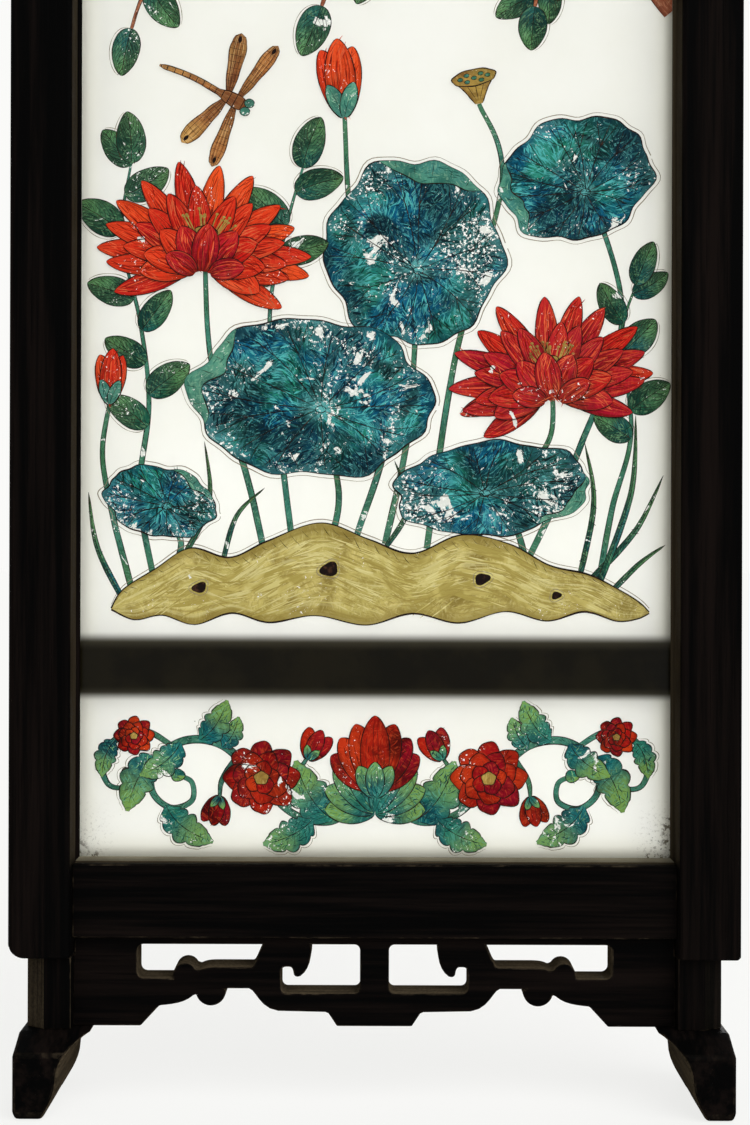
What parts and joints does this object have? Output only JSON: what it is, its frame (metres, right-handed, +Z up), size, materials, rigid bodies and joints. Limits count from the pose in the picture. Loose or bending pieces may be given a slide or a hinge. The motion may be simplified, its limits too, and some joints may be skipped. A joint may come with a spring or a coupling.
{
  "type": "table screen",
  "caption": "Table screen: a framed pane of painted milk glass that lifts off a low hardwood stand with a pierced scroll apron and two shoe feet.",
  "frame": {"origin": "centre of the screen's footprint on the table, under the middle of the panel", "axes": "+Z up along the tall panel, -Y towards the viewer who faces the painted side, +X to that viewer's right"},
  "size_m": [0.31, 0.061, 0.62],
  "materials": {
    "blackwood": "dark hardwood, waxed, worn at the edges",
    "milk_glass": "milk glass painted in opaque and glazed colours on its front",
    "bamboo": "stained bamboo, end grain",
    "iron": "blackened iron wire"
  },
  "bodies": {
    "stand": {"left_foot": "blackwood", "right_foot": "blackwood", "left_leg": "blackwood", "right_leg": "blackwood", "apron": "blackwood", "stand_pins": "bamboo"},
    "panel": {"left_stile": "blackwood", "right_stile": "blackwood", "top_rail": "blackwood", "bottom_rail": "blackwood", "rear_cross_rail": "blackwood", "glass_pane": "milk_glass", "bead_left": "blackwood", "bead_right": "blackwood", "bead_top": "blackwood", "bead_bottom": "blackwood", "rear_stop_left_upper": "blackwood", "rear_stop_left_lower": "blackwood", "rear_stop_right_upper": "blackwood", "rear_stop_right_lower": "blackwood", "rear_stop_top": "blackwood", "rear_stop_bottom": "blackwood", "stop_brads": "iron", "panel_pins": "bamboo"}
  },
  "joints": [
    {"name": "panel_lift", "type": "slide", "parent": "stand", "child": "panel", "axis": [0, 0, 1], "range_m": [0, 0.03]}
  ]
}
